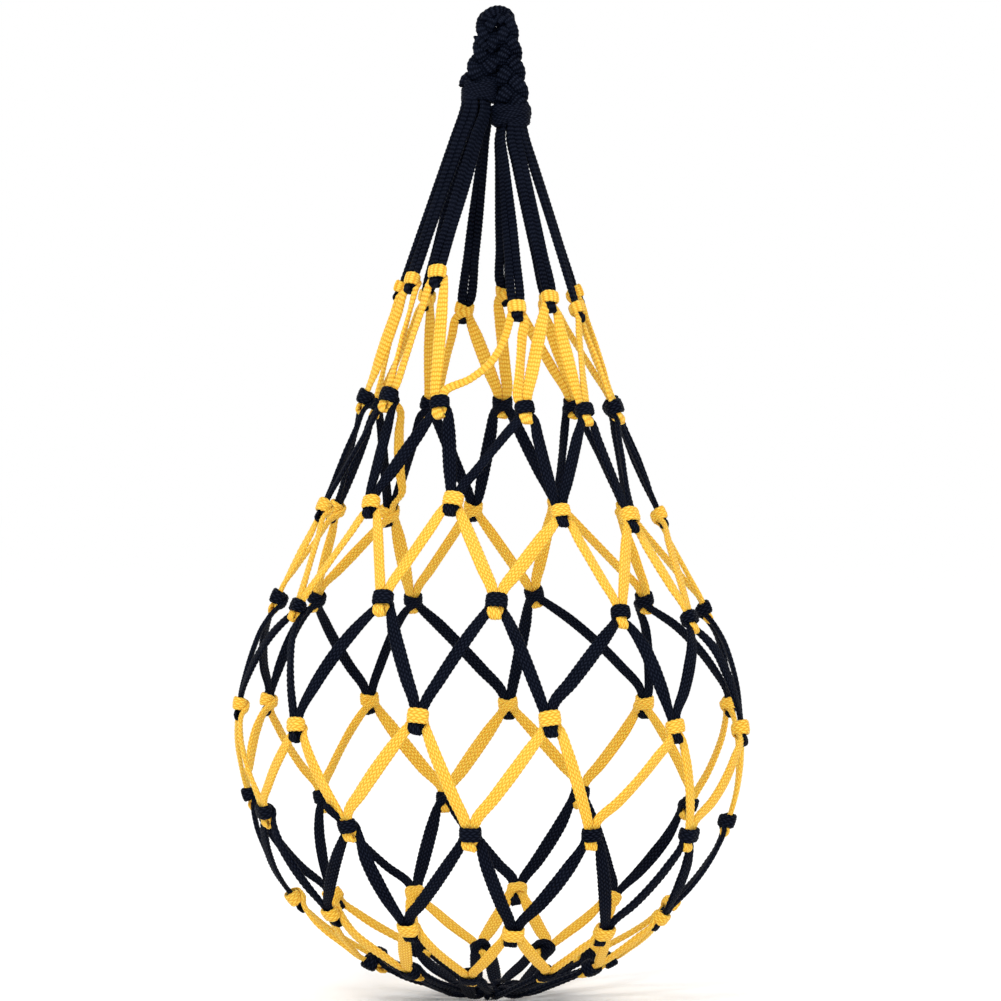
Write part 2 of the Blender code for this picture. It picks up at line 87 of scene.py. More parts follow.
# ---- a knot, in the frame u right, v up the net, w out of it ----
MESHES = 11
PITCH = 360.0 / MESHES
BAND_REACH = 8.0          # how far down a course's knots their turns of cord reach
WRAP_MIDDLE = 0.6         # a turn of cord stands this much behind its knot's centre
KNOT_RELIEF = 0.8         # stitches are pulled flatter in a knot
FOOT_DROP = 5.75          # a strap's lowest point below the centre of its knot
MOUTH_LEAN = -19.0        # the neck narrows upwards
BASE_TURN = 0.4           # the last loops hang this share of a mesh past the knots above
REFINEMENTS = 2           # how often a knot's place is refined
NEAR_SHARE = 0.45         # a knot's points lie within this share of a mesh
FOOT_REACH = 3.0          # height of a strap's foot
KNOT_TILT = 9.0           # a hand-tied knot is tilted by up to this many degrees
KNOT_SIZE = (0.94, 1.08)  # and is this much smaller or larger than drawn
MOUTH_TILT = 8.0          # the same two for the knots at the mouth
MOUTH_SIZE = (0.86, 0.98)
IN_PLANE = "in plane"     # an edge that lies in the net, square to the cord's run
UPWARD = "upward"         # an edge that points up the net
ACROSS = "across"         # an edge that points across it
SLACK_LEG = 0             # the one leg at the mouth that hangs slack
SLACK_BOW = 6.0           # and how far it bows to the right
SLACK_SAG = 5.0           # and sags
SLACK_HALF_WIDTH = 1.9    # it is seen nearly edge on

# ---- the straps and the handle ----
STRAP_HALF_WIDTH = 1.85
STRAP_END_HALF_WIDTH = 1.65
STRAP_TUCK = 6.5          # a strap's end runs this far up into the handle's knot
STRAP_DRAW = 0.22         # and is drawn in by this share of its way to the middle
STRAP_TOP_REACH = 0.8     # height of its gathered end
STRAP_SHARES = (0.22, 0.42, 0.62, 0.82, 1.0)    # where the control points of its legs lie
STRAP_SPREAD = 0.93       # its legs are this many half widths off its middle
STRAP_GAP = 0.15          # and up to this much further apart half way up
STRAP_ROLL = 14.0         # each is rolled by up to this many degrees
TIE_STEPS = 10            # control points in a turn of cord round a handle knot
TIE_EASE = 6              # its first and last sixth run out from the middle
TIE_START = 0.35          # share of its reach that it has at its ends
TIE_GROW = 0.65           # and what is added in between
TIE_HALF_WIDTH = 2.35
TIE_TURNS = 2.4           # turns of the main coil of a handle knot
TIE_ANGLE = 0.6           # and the angle at which it starts, in radians
OVER_TURNS = 1.1          # the same for the turn that lies aslant over it
OVER_ANGLE = 2.4
OVER_REACH = (0.93, 1.12)           # its reach, height and tilt, against the coil's
OVER_HEIGHT = 0.2
OVER_TILT = -3.0
STRAND_HALF_THICKNESS = 1.15        # of the cord in the handle's knots and in the plait
PLAIT_SWAY = (2.6, 5.3)   # a strand swings this far to each side, at the fold and at the knots
PLAIT_DEPTH = 2.3         # and this far from front to back
PLAIT_HALF_WIDTH = (2.2, 3.4)       # of a strand, at the fold and at the knots
PLAIT_PHASE = 0.163       # sets the bulges of one half of the plait against the hollows of the other
PLAIT_PITCH = 27.0        # length of plait over which a strand comes back to the same side
PLAIT_STEPS_LEFT = 12     # points in its middle line: from the left knot to the fold,
FOLD_STEPS = 9            # over the fold
PLAIT_STEPS_RIGHT = 16    # and from the fold to the right knot
PLAIT_BEND_LEFT = (-2.1, 419.5)     # x and z half way from the left knot to the fold
PLAIT_BEND_RIGHT = (9.0, 413.5)     # and half way from the fold to the right knot
TAIL_ROOT = 8             # the point where a short cut end stands out
TAIL_HALF_THICKNESS = 0.9
FOLD_HALF_WIDTH = 4.4     # of the middle of the plait where it folds over
FOLD_HEIGHT = 3.6
FOLD_PROUD = 1.3          # the soft fold stands this much above its CAD solid
FOLD_POWER = 0.5          # below one, the fold has shoulders

# ---- the mouth ----
MOUTH_STRAPS = (          # in the order in which the yellow course joins them
    "strap_left_5", "strap_right_1", "strap_right_2", "strap_right_3", "strap_right_4",
    "strap_right_5", "strap_right_6", "strap_left_1", "strap_left_2", "strap_left_3",
    "strap_left_4",
)
LEFT_SPLIT = 0            # the knots of row B between which the left and right halves part
RIGHT_SPLIT = 6

# ---- the yellow cord that is carried down inside the back ----
CARRIED_END = 4.0         # height of each of its ends
CARRIED_BOW = 1.5         # how far it stands out half way down
CARRIED_WIDTHS = ((0.0, 2.0), (0.25, 2.8), (0.5, 3.1), (0.75, 2.8), (1.0, 2.0))

# ---- the draw ring and the closing knot ----
RING_STEPS = 24           # control points round the ring
RING_SECTION = (1.25, 1.15, 0.7)    # half width, half thickness and relief of its cord
CLOSING_STEPS = 36        # and the same for the closing knot
CLOSING_SECTION = (1.25, 1.1, 0.7)
CLOSING_MARGIN = 1.3      # its middle line keeps this far inside the CAD box

# ---- the cut end of one cord ----
MELTED_NODE = "net_course_7_black"
MELTED_KNOT = 9

# ---- the camera, in metres ----
CAMERA_DISTANCE = 1.8
CAMERA_HEIGHT = 0.226
CAMERA_SIDE = 0.0044      # it looks this far to the right of the middle of the bag
CAMERA_LIFT = 0.0015      # and this far above it
VIEW_WIDTH = 0.446
SENSOR_WIDTH = 36         # of the camera, in millimetres

# ---- the stage and the lights: place and size in metres, power in watts ----
FLOOR_SIZE = 60
LIGHT_TARGET = (0, 0, 0.22)
KEY_LIGHT = ((-0.7, -1.5, 1.4), 0.6, 17)
FILL_LIGHT = ((1.2, -1.3, 0.7), 0.8, 6)

# ---- seeds of the random draws; a row of the net or a course adds its own number ----
ROW_SEED = 10
COURSE_SEED = 40
MOUTH_KNOT_SEED = 5
MOUTH_CORD_SEED = 33
STRAP_SEED = 71

UP = np.array([0.0, 0.0, 1.0])
FRONT = np.array([0.0, -1.0, 0.0])

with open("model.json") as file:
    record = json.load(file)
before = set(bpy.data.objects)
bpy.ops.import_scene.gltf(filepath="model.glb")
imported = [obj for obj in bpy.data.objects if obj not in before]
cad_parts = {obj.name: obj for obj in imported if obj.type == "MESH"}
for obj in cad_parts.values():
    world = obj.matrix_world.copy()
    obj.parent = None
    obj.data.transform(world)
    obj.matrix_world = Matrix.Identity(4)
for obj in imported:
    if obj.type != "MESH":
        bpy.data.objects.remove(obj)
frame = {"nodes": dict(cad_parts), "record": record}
record = frame["record"]
cad_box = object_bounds()


# ======== places, from the frame

def node_points(node):
    """The corners of a CAD node's mesh, in millimetres."""
    mesh = frame["nodes"][node].data
    flat = np.empty(len(mesh.vertices) * 3, np.float32)
    mesh.vertices.foreach_get("co", flat)
    return flat.reshape(-1, 3).astype(float) / MM


def ball_centre():
    """The middle of the space that the record keeps for the ball."""
    low, high = record["physics"]["openings"][0]["box_m"]
    return (np.array(low) + np.array(high)) / 2 / MM


def measure_row(node):
    """Azimuth, height and radius of each of the knots that a course hangs from."""
    points = node_points(node)
    radius = np.hypot(points[:, 0], points[:, 1])
    height = points[:, 2]
    order = np.argsort(height)
    share = len(points) // MESHES
    low, high = order[:share], order[-share:]
    rise = np.array([
        radius[high].mean() - radius[low].mean(),
        height[high].mean() - height[low].mean(),
    ])
    rise /= np.linalg.norm(rise)
    along = radius * rise[0] + height * rise[1]
    azimuth = np.arctan2(points[:, 0], -points[:, 1])
    top = along > along.max() - 2 * BAND_REACH
    phase = np.angle(np.exp(1j * MESHES * azimuth[top]).sum()) / MESHES
    knots = []
    for index in range(MESHES):
        middle = phase + math.radians(index * PITCH)
        for _ in range(REFINEMENTS):
            beside = np.angle(np.exp(1j * (azimuth - middle)))
            near = np.abs(beside) < math.radians(PITCH) * NEAR_SHARE
            band = near & (along > along[near].max() - BAND_REACH)
            middle += beside[band].mean()
        knots.append((
            math.degrees(middle),
            height[band].mean() - WRAP_MIDDLE * rise[0],
            radius[band].mean() + WRAP_MIDDLE * rise[1],
        ))
    return knots


class Knot:
    """The local frame of a knot: u to its right, v up along the net and w out of it."""

    def __init__(self, azimuth, height, radius, lean, tilt=0.0, size=1.0):
        turn, tip = math.radians(azimuth), math.radians(lean)
        out = np.array([math.sin(turn), -math.cos(turn), 0.0])
        across = np.array([math.cos(turn), math.sin(turn), 0.0])
        along = out * math.sin(tip) + UP * math.cos(tip)
        roll = math.radians(tilt)
        self.centre = out * radius + UP * height
        self.u = across * math.cos(roll) + along * math.sin(roll)
        self.v = along * math.cos(roll) - across * math.sin(roll)
        self.w = np.cross(self.u, self.v)
        self.size = size

    def at(self, u, v, w):
        return self.centre + (self.u * u + self.v * v + self.w * w) * self.size


def lean_between(upper, lower):
    """How far outwards the net runs as it goes up, in degrees, between two heights and radii."""
    return math.degrees(math.atan2(upper[1] - lower[1], upper[0] - lower[0]))


def row_of_knots(row, lean, seed):
    """Knots in the places that the CAD gives them, each a little tilted, as hand-tied knots are."""
    rng = np.random.default_rng(seed)
    return [
        Knot(azimuth, height, radius, lean,
             rng.uniform(-KNOT_TILT, KNOT_TILT), rng.uniform(*KNOT_SIZE))
        for azimuth, height, radius in row
    ]


def middle_of(row):
    """Mean height and radius of a row."""
    return np.mean([(height, radius) for azimuth, height, radius in row], 0)


def start_row(row, azimuth):
    """A row's knots in order of azimuth, from the first at or after a given azimuth."""
    return sorted(row, key=lambda knot: (knot[0] - azimuth) % 360)


def strap_foot(points):
    """The middle of a strap's foot, and its azimuth in degrees."""
    foot = points[points[:, 2] < points[:, 2].min() + FOOT_REACH].mean(0)
    return foot, math.degrees(math.atan2(foot[0], -foot[1]))


def mouth_knots(seed):
    """The knots at the foot of the straps, in the order in which the yellow course joins them."""
    rng = np.random.default_rng(seed)
    knots = []
    for name in MOUTH_STRAPS:
        points = node_points(name)
        foot, azimuth = strap_foot(points)
        lean = math.radians(MOUTH_LEAN)
        radius = math.hypot(foot[0], foot[1]) + FOOT_DROP * math.sin(lean)
        height = points[:, 2].min() + FOOT_DROP * math.cos(lean)
        knots.append(Knot(azimuth % 360, height, radius, MOUTH_LEAN,
                          rng.uniform(-MOUTH_TILT, MOUTH_TILT), rng.uniform(*MOUTH_SIZE)))
    return knots


def net_courses():
    """The CAD nodes of the net's courses, from the mouth down."""
    return [name for name in sorted(frame["nodes"]) if name.startswith("net_course_")]


def measure_rows():
    """The rows B to H of the net, from the mouth down, and the draw ring's row.

    Knot number i of a row hangs between numbers i and i + 1 of the row above.
    """
    rows = [measure_row(name) for name in net_courses()]
    _, first = strap_foot(node_points(MOUTH_STRAPS[0]))
    ordered = []
    for row in rows:
        row = start_row(row, first)
        ordered.append(row)
        first = row[0][0]
    low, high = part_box("base_draw_ring")
    cord = (high.z - low.z) / 2
    ring_radius = ((high.x - low.x) / 2 - cord) / MM
    height = (low.z + high.z) / 2 / MM
    step = BASE_TURN * PITCH
    last = [even_azimuth(ordered[-1]) + step + i * PITCH for i in range(MESHES)]
    ordered.append([(azimuth, height, ring_radius) for azimuth in last])
    return ordered


def even_azimuth(row):
    """The azimuth that the first knot of a row would have if the row were even."""
    first = row[0][0]
    strays = [(azimuth - first) % 360 - i * PITCH for i, (azimuth, height, radius) in enumerate(row)]
    return first + float(np.mean(strays))


# ======== paths of cord

class Path:
    """Control points of a cord: place, direction of its width, half of its width and thickness."""

    def __init__(self):
        self.points = []
        self.edges = []
        self.sizes = []

    def add(self, point, edge, half_width, half_thickness=LEG_HALF_THICKNESS, relief=1.0):
        self.points.append(np.array(point, float))
        self.edges.append(edge)
        self.sizes.append((half_width, half_thickness, relief))


# The turn of cord that binds a knot: it comes up from the left leg, passes behind to the right,
# crosses the front as a flat band, and goes round behind again to the right leg.
# Each line is u, v, w, half width, half thickness and the direction of the edge.
WRAP = (
    (-3.3, -4.2, -0.3, 2.0, 1.00, IN_PLANE),
    (-1.7, -1.3, -1.9, 2.1, 0.85, IN_PLANE),
    (1.5, -0.2, -2.2, 2.4, 0.80, UPWARD),
    (3.6, 0.0, -0.5, 2.8, 0.85, UPWARD),
    (3.0, 0.1, 1.9, 3.0, 0.90, UPWARD),
    (0.0, 0.2, 2.5, 3.05, 0.90, UPWARD),
    (-3.0, 0.1, 1.9, 3.0, 0.90, UPWARD),
    (-3.7, 0.0, -0.7, 2.8, 0.85, UPWARD),
    (-1.7, -0.3, -3.2, 2.4, 0.80, UPWARD),
    (1.3, -1.6, -3.4, 2.1, 0.85, IN_PLANE),
    (3.3, -4.4, -1.3, 2.0, 1.00, IN_PLANE),
)

# The foot of a V: down through the turn of cord, folded over forwards below it, and up again.
FOOT = (
    (-2.2, 5.2, 0.1, 2.30, 1.00, IN_PLANE),
    (-1.5, 0.0, 0.1, 1.45, 1.05, IN_PLANE),
    (-1.2, -3.6, 0.9, 2.50, 1.00, ACROSS),
    (-0.6, -5.6, 1.2, 2.75, 0.95, ACROSS),
    (0.0, -6.8, 0.1, 2.50, 0.95, ACROSS),
    (0.7, -5.4, -1.1, 2.10, 0.95, ACROSS),
    (1.3, -3.4, -0.7, 1.70, 0.95, ACROSS),
    (1.5, 0.0, 0.0, 1.45, 1.05, IN_PLANE),
    (2.2, 5.2, -0.1, 2.30, 1.00, IN_PLANE),
)
FOOT_MIDDLE = 4           # the lowest of these points

# The last loops: over the draw ring, round it and back under it.
BASE_LOOP = (
    (-1.6, 9.0, -1.2, 1.9, 0.95, IN_PLANE),
    (-1.3, 2.5, -2.0, 1.7, 0.90, IN_PLANE),
    (-0.7, -1.8, -1.2, 1.6, 0.85, IN_PLANE),
    (0.0, -2.4, 0.0, 1.6, 0.85, IN_PLANE),
    (0.7, -1.8, 1.2, 1.6, 0.85, IN_PLANE),
    (1.3, 2.5, 1.9, 1.7, 0.90, IN_PLANE),
    (1.6, 9.0, 1.0, 1.9, 0.95, IN_PLANE),
)


def add_knot_run(path, knot, run):
    """Add a run of control points that is drawn in a knot's frame."""
    directions = {IN_PLANE: ("plane", knot.w), UPWARD: knot.v, ACROSS: knot.u}
    for u, v, w, half_width, half_thickness, edge in run:
        width = half_width * knot.size
        path.add(knot.at(u, v, w), directions[edge], width, half_thickness, KNOT_RELIEF)


def leg_points(start, end, centre, ball_radius):
    """Three points of a leg that lies on the ball wherever a straight leg would cut into it."""
    points = []
    for share in LEG_SHARES:
        point = start * (1 - share) + end * share
        away = point - centre
        distance = np.linalg.norm(away)
        if distance < ball_radius:
            point = centre + away / distance * ball_radius
        points.append(point)
    return points


def add_leg(path, start, end, place, rng, face, bow=None):
    """The free run of cord between two knots, rolled a little about its own length."""
    centre, ball_radius, roll_range, width = place
    roll = math.radians(rng.uniform(-roll_range, roll_range))
    scale = rng.uniform(*LEG_SCALE)
    points = leg_points(start, end, centre, ball_radius)
    for share, point in zip(LEG_SHARES, points):
        swell = math.sin(math.pi * share)
        if bow is not None:
            point = point + bow * swell
        half_width = width * scale * (LEG_PINCH + LEG_SWELL * swell)
        path.add(point, ("roll", face, roll * swell), half_width)


def hermite(params, values, cyclic, at):
    """A smooth curve through values at params, with the tangents of a Catmull-Rom spline."""
    values = np.asarray(values, float)
    count = len(values)
    steps = np.diff(params)
    if cyclic:
        before = np.roll(values, 1, 0)
        after = np.roll(values, -1, 0)
        step_after = steps
        step_before = np.roll(steps, 1)
    else:
        step_after = np.append(steps, steps[-1])
        step_before = np.insert(steps, 0, steps[0])
        before = np.vstack([2 * values[0] - values[1], values[:-1]])
        after = np.vstack([values[1:], 2 * values[-1] - values[-2]])
    step_before = step_before[:, None]
    step_after = step_after[:, None]
    slope_before = (values - before) / step_before
    slope_after = (after - values) / step_after
    slopes = (slope_before * step_after + slope_after * step_before) / (step_before + step_after)
    index = np.clip(np.searchsorted(params, at, side="right") - 1, 0, len(params) - 2)
    span = steps[index][:, None]
    t = (at - params[index])[:, None] / span
    following = (index + 1) % count
    a, b = values[index], values[following]
    ma, mb = slopes[index] * span, slopes[following] * span
    return ((2 * t**3 - 3 * t**2 + 1) * a + (t**3 - 2 * t**2 + t) * ma
            + (-2 * t**3 + 3 * t**2) * b + (t**3 - t**2) * mb)


def unit(rows):
    return rows / np.maximum(np.linalg.norm(rows, axis=-1, keepdims=True), 1e-9)


def edge_directions(path, tangents):
    """The direction of a cord's width at each control point, turned over where that runs on."""
    edges = []
    for edge, tangent in zip(path.edges, tangents):
        if isinstance(edge, tuple):
            direction = np.cross(edge[1], tangent)
            if edge[0] == "roll":
                direction = unit(direction)
                normal = np.cross(direction, tangent)
                direction = direction * math.cos(edge[2]) + normal * math.sin(edge[2])
        else:
            direction = edge
        direction = unit(direction - tangent * (direction @ tangent))
        if edges and edges[-1] @ direction < 0:
            direction = -direction
        edges.append(direction)
    return np.array(edges)


def section():
    """Unit cross-section of a cord: points that are evenly spaced, and outward directions."""
    angle = np.linspace(0, math.tau, SECTION_SAMPLES)
    cos, sin = np.cos(angle), np.sin(angle)
    x = np.sign(cos) * np.abs(cos) ** (2 / SECTION_POWER)
    y = np.sign(sin) * np.abs(sin) ** (2 / SECTION_POWER)
    typical = LEG_HALF_THICKNESS / LEG_HALF_WIDTH
    run = np.concatenate([[0], np.cumsum(np.hypot(np.diff(x), np.diff(y) * typical))])
    at = run[-1] * np.arange(SECTION_POINTS) / SECTION_POINTS
    picked = np.interp(at, run, angle)
    cos, sin = np.cos(picked), np.sin(picked)
    x = np.sign(cos) * np.abs(cos) ** (2 / SECTION_POWER)
    y = np.sign(sin) * np.abs(sin) ** (2 / SECTION_POWER)
    nx = np.abs(x) ** (SECTION_POWER - 1) * np.sign(x) * typical
    ny = np.abs(y) ** (SECTION_POWER - 1) * np.sign(y)
    length = np.hypot(nx, ny)
    return x, y, nx / length, ny / length


SECTION = section()


def stitch_height(along, across, stagger):
    """The braid's relief, 0 in the grooves and 1 on top of a stitch."""
    step = stagger * np.cos(math.pi * (across - 0.5))
    rib = 0.5 + 0.5 * np.cos(math.tau * (along + step))
    column = 0.5 - 0.5 * np.cos(math.tau * across)
    return rib * (0.45 + 0.55 * column) + 0.25 * column


def smooth_rows(rows, cyclic, passes):
    for _ in range(passes):
        if cyclic:
            rows = (np.roll(rows, 1, 0) + 2 * rows + np.roll(rows, -1, 0)) / 4
        else:
            inner = (rows[:-2] + 2 * rows[1:-1] + rows[2:]) / 4
            rows = np.vstack([rows[:1], inner, rows[-1:]])
    return rows


class Strip:
    """Rings of vertices along a cord, or along a part of one."""

    def __init__(self, rows, cyclic, flip, first=0, marks=()):
        self.rows = rows
        self.cyclic = cyclic
        self.flip = flip          # the cord comes back to its start with its other face outwards
        self.first = first        # number of the first ring, which sets the phase of the braid
        self.marks = marks        # number of the ring at each control point

    def cut(self, start, end):
        """The part between two rings. A closed cord may run on past its last ring."""
        rows = self.rows
        if self.cyclic:
            turn = SECTION_POINTS // 2 if self.flip else 0
            rows = np.concatenate([rows, np.roll(rows, -turn, 1)])
        return Strip(rows[start: end + 1], False, False, start)


def sweep(path, cyclic=False, stitch=NET_STITCH, stagger=NET_STAGGER):
    """The cord that follows a path, with its stitches raised."""
    points = np.array(path.points)
    loop = np.vstack([points, points[:1]]) if cyclic else points
    steps = np.linalg.norm(np.diff(loop, axis=0), axis=1)
    params = np.concatenate([[0], np.cumsum(steps ** SPACING_POWER)])
    fine = np.linspace(0, params[-1], FINE_STEPS * len(points) + 1)
    curve = hermite(params, points, cyclic, fine)
    run = np.concatenate([[0], np.cumsum(np.linalg.norm(np.diff(curve, axis=0), axis=1))])
    stitches = max(2, round(run[-1] / stitch))
    rings = stitches * RINGS_PER_STITCH
    count = rings if cyclic else rings + 1
    arc = run[-1] * np.arange(count) / rings
    at = np.interp(arc, run, fine)
    centres = hermite(params, points, cyclic, at)
    if cyclic:
        tangents = unit(np.roll(centres, -1, 0) - np.roll(centres, 1, 0))
    else:
        tangents = unit(np.gradient(centres, axis=0))
    marks = [min(int(np.searchsorted(at, value)), count - 1) for value in params[: len(points)]]
    edges = edge_directions(path, tangents[marks])
    flip = bool(cyclic and edges[-1] @ edges[0] < 0)
    sizes = np.array(path.sizes)
    keys, size_keys = edges, sizes
    if cyclic:
        keys = np.vstack([edges, -edges[:1] if flip else edges[:1]])
        size_keys = np.vstack([sizes, sizes[:1]])
    across = np.stack([np.interp(at, params, keys[:, i]) for i in range(3)], 1)
    sizes = np.stack([np.interp(at, params, size_keys[:, i]) for i in range(3)], 1)
    if not flip:
        across = smooth_rows(across, cyclic, EDGE_SMOOTHING)
    sizes = smooth_rows(sizes, cyclic, SIZE_SMOOTHING)
    across = unit(across - tangents * (across * tangents).sum(1, keepdims=True))
    normal = np.cross(tangents, across)
    x, y, nx, ny = SECTION
    columns = np.arange(SECTION_POINTS) / 2 + 0.5
    along = np.arange(count) / RINGS_PER_STITCH
    height = RELIEF * sizes[:, 2:3] * stitch_height(along[:, None], columns[None, :], stagger)
    height -= RELIEF / 2
    side = sizes[:, 0:1] * x + nx * height
    out = sizes[:, 1:2] * y + ny * height
    rows = centres[:, None] + across[:, None] * side[..., None] + normal[:, None] * out[..., None]
    return Strip(rows, cyclic, flip, 0, marks)


def strip_faces(strip):
    """Quads between neighbouring rings, and the braid's coordinates at their corners."""
    count = SECTION_POINTS
    rings = len(strip.rows)
    spans = rings if strip.cyclic else rings - 1
    ring = np.repeat(np.arange(spans), count)
    spot = np.tile(np.arange(count), spans)
    following = (ring + 1) % rings
    turn = np.where((ring == rings - 1) & strip.flip, count // 2, 0)
    next_spot = (spot + 1) % count
    quads = np.stack([
        ring * count + spot,
        ring * count + next_spot,
        following * count + (next_spot + turn) % count,
        following * count + (spot + turn) % count,
    ], 1)
    u0 = (ring + strip.first) / RINGS_PER_STITCH
    u1 = (ring + strip.first + 1) / RINGS_PER_STITCH
    v0 = spot / 2 + 0.5
    v1 = (spot + 1) / 2 + 0.5
    uv = np.stack([
        np.stack([u0, v0], 1), np.stack([u0, v1], 1),
        np.stack([u1, v1], 1), np.stack([u1, v0], 1),
    ], 1)
    return quads, uv


def make_cord(name, strips, material):
    """One object of one or more cords."""
    verts, quads, uvs, caps = [], [], [], []
    base = 0
    for strip in strips:
        faces, uv = strip_faces(strip)
        verts.append(strip.rows.reshape(-1, 3))
        quads.append(faces + base)
        uvs.append(uv)
        if not strip.cyclic:
            first = base + np.arange(SECTION_POINTS)
            caps.append(first[::-1])
            caps.append(first + (len(strip.rows) - 1) * SECTION_POINTS)
        base += strip.rows.shape[0] * strip.rows.shape[1]
    return build_mesh(name, np.vstack(verts), np.vstack(quads), np.vstack(uvs), caps, material)


def build_mesh(name, verts, quads, uvs, caps, material):
    """An object of quads, with a braid map, and of the flat faces that close open ends."""
    mesh = bpy.data.meshes.new(name)
    loops = np.concatenate([quads.ravel()] + caps)
    sizes = np.concatenate([np.full(len(quads), 4), [len(cap) for cap in caps]]).astype(int)
    starts = np.concatenate([[0], np.cumsum(sizes)[:-1]]).astype(int)
    mesh.vertices.add(len(verts))
    mesh.vertices.foreach_set("co", (verts * MM).astype(np.float32).ravel())
    mesh.loops.add(len(loops))
    mesh.loops.foreach_set("vertex_index", loops.astype(np.int32))
    mesh.polygons.add(len(sizes))
    mesh.polygons.foreach_set("loop_start", starts.astype(np.int32))
    mesh.update(calc_edges=True)
    layer = mesh.uv_layers.new(name="braid")
    flat = np.zeros((len(loops), 2), np.float32)
    flat[: quads.size] = uvs.reshape(-1, 2)
    layer.data.foreach_set("uv", flat.ravel())
    mesh.shade_smooth()
    mesh.validate()
    mesh.materials.append(material)
    obj = bpy.data.objects.new(name, mesh)
    bpy.context.scene.collection.objects.link(obj)
    return obj


def stand_for(piece, colour, *nodes):
    """Hide the CAD nodes that a piece stands for."""
    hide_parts(*nodes)


def ride_cord(node, strips, materials, look, body):
    """A cord that stands for one CAD node and rides on one body."""
    cord = make_cord(node + "_cord", strips, materials[look])
    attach(cord, body)
    stand_for(cord, look.split("_")[0], node)


# ======== materials

class Nodes:
    """Short calls for the shader nodes that the two cord materials share."""

    def __init__(self, name):
        self.material = bpy.data.materials.new(name)
        self.material.use_nodes = True
        self.tree = self.material.node_tree
        self.shader = self.tree.nodes["Principled BSDF"]

    def link(self, value, socket):
        if isinstance(value, (int, float, tuple)):
            socket.default_value = value
        else:
            self.tree.links.new(value, socket)

    def math(self, operation, a, b=0.0, c=0.0):
        node = self.tree.nodes.new("ShaderNodeMath")
        node.operation = operation
        for value, socket in zip((a, b, c), node.inputs):
            self.link(value, socket)
        return node.outputs[0]

    def mix(self, factor, a, b):
        node = self.tree.nodes.new("ShaderNodeMix")
        node.data_type = "RGBA"
        self.link(factor, node.inputs["Factor"])
        self.link(a, node.inputs["A"])
        self.link(b, node.inputs["B"])
        return node.outputs["Result"]

    def noise(self, scale, detail):
        node = self.tree.nodes.new("ShaderNodeTexNoise")
        node.inputs["Scale"].default_value = scale
        node.inputs["Detail"].default_value = detail
        place = self.tree.nodes.new("ShaderNodeTexCoord")
        self.tree.links.new(place.outputs["Object"], node.inputs["Vector"])
        return node.outputs["Fac"]

    def ramp(self, value, low, high):
        node = self.tree.nodes.new("ShaderNodeMapRange")
        node.clamp = True
        node.inputs["From Min"].default_value = low
        node.inputs["From Max"].default_value = high
        self.link(value, node.inputs["Value"])
        return node.outputs[0]


def braid_pattern(nodes, stagger):
    """The height of the stitches, and of the yarn that lies slantwise in each of them."""
    coords = nodes.tree.nodes.new("ShaderNodeUVMap")
    coords.uv_map = "braid"
    split = nodes.tree.nodes.new("ShaderNodeSeparateXYZ")
    nodes.tree.links.new(coords.outputs["UV"], split.inputs[0])
    along, across = split.outputs["X"], split.outputs["Y"]
    column = nodes.math("FLOOR", across)
    side = nodes.math("MULTIPLY_ADD", nodes.math("MODULO", column, 2.0), -2.0, 1.0)
    centre = nodes.math("SUBTRACT", nodes.math("FRACT", across), 0.5)
    slant = nodes.math("MULTIPLY", nodes.math("MULTIPLY", side, centre), 2.2 * stagger)
    shift = nodes.math("MULTIPLY", side, stagger)
    step = nodes.math("ADD", nodes.math("ADD", along, shift), slant)
    rib = nodes.math("COSINE", nodes.math("MULTIPLY", step, math.tau))
    rib = nodes.math("MULTIPLY_ADD", rib, 0.5, 0.5)
    edge = nodes.math("MULTIPLY", nodes.math("ABSOLUTE", centre), 2.0)
    crown = nodes.math("SUBTRACT", 1.0, nodes.math("POWER", edge, 3.0))
    height = nodes.math("MULTIPLY", nodes.math("POWER", rib, 0.6), crown)
    yarn = nodes.math("SINE", nodes.math("MULTIPLY", nodes.math("ADD", across, step), 38.0))
    yarn = nodes.math("MULTIPLY_ADD", yarn, 0.5, 0.5)
    return height, yarn


